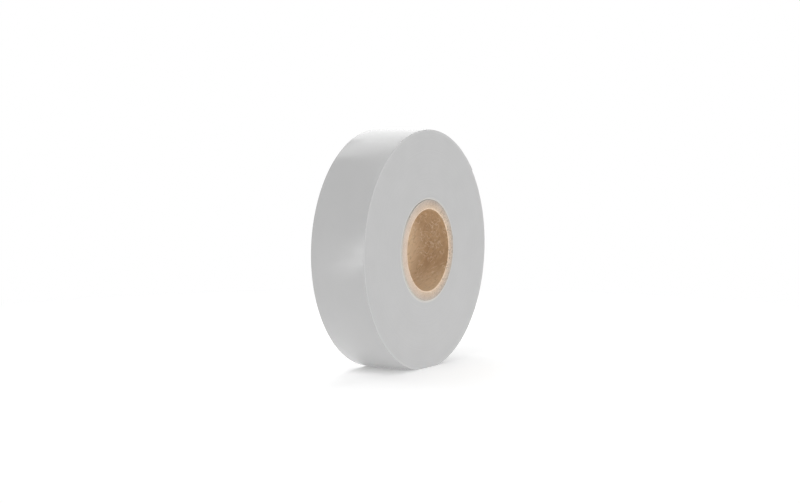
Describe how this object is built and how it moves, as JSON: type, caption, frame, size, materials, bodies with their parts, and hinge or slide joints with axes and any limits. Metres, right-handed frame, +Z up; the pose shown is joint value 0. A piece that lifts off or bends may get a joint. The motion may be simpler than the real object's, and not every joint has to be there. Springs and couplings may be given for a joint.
{
  "type": "roll of electrical tape",
  "caption": "Full roll of grey vinyl electrical tape, wound on a spiral-wound paper core with an open bore, with a free end that peels up.",
  "frame": {"origin": "centre of the bore, midway between the core's ends", "axes": "+Z up with the roll standing on its tread, Y along the bore, -Y out of the side that the picture shows"},
  "size_m": [0.076, 0.0196, 0.0756],
  "materials": {
    "vinyl": "satin",
    "kraft_liner": "matte",
    "core_paper": "matte"
  },
  "bodies": {
    "roll": {"core_ply_1": "kraft_liner", "core_ply_2": "core_paper", "core_ply_3": "core_paper", "core_ply_4": "core_paper", "core_ply_5": "core_paper", "core_ply_6": "core_paper", "tape_pack": "vinyl", "outer_turn": "vinyl"},
    "tail": {"tape_tail": "vinyl"}
  },
  "joints": [
    {"name": "tail_peel", "type": "hinge", "parent": "roll", "child": "tail", "pos_m": [0.01756, 0, 0.03391], "axis": [0, -1, 0], "range_deg": [0, 120]}
  ]
}
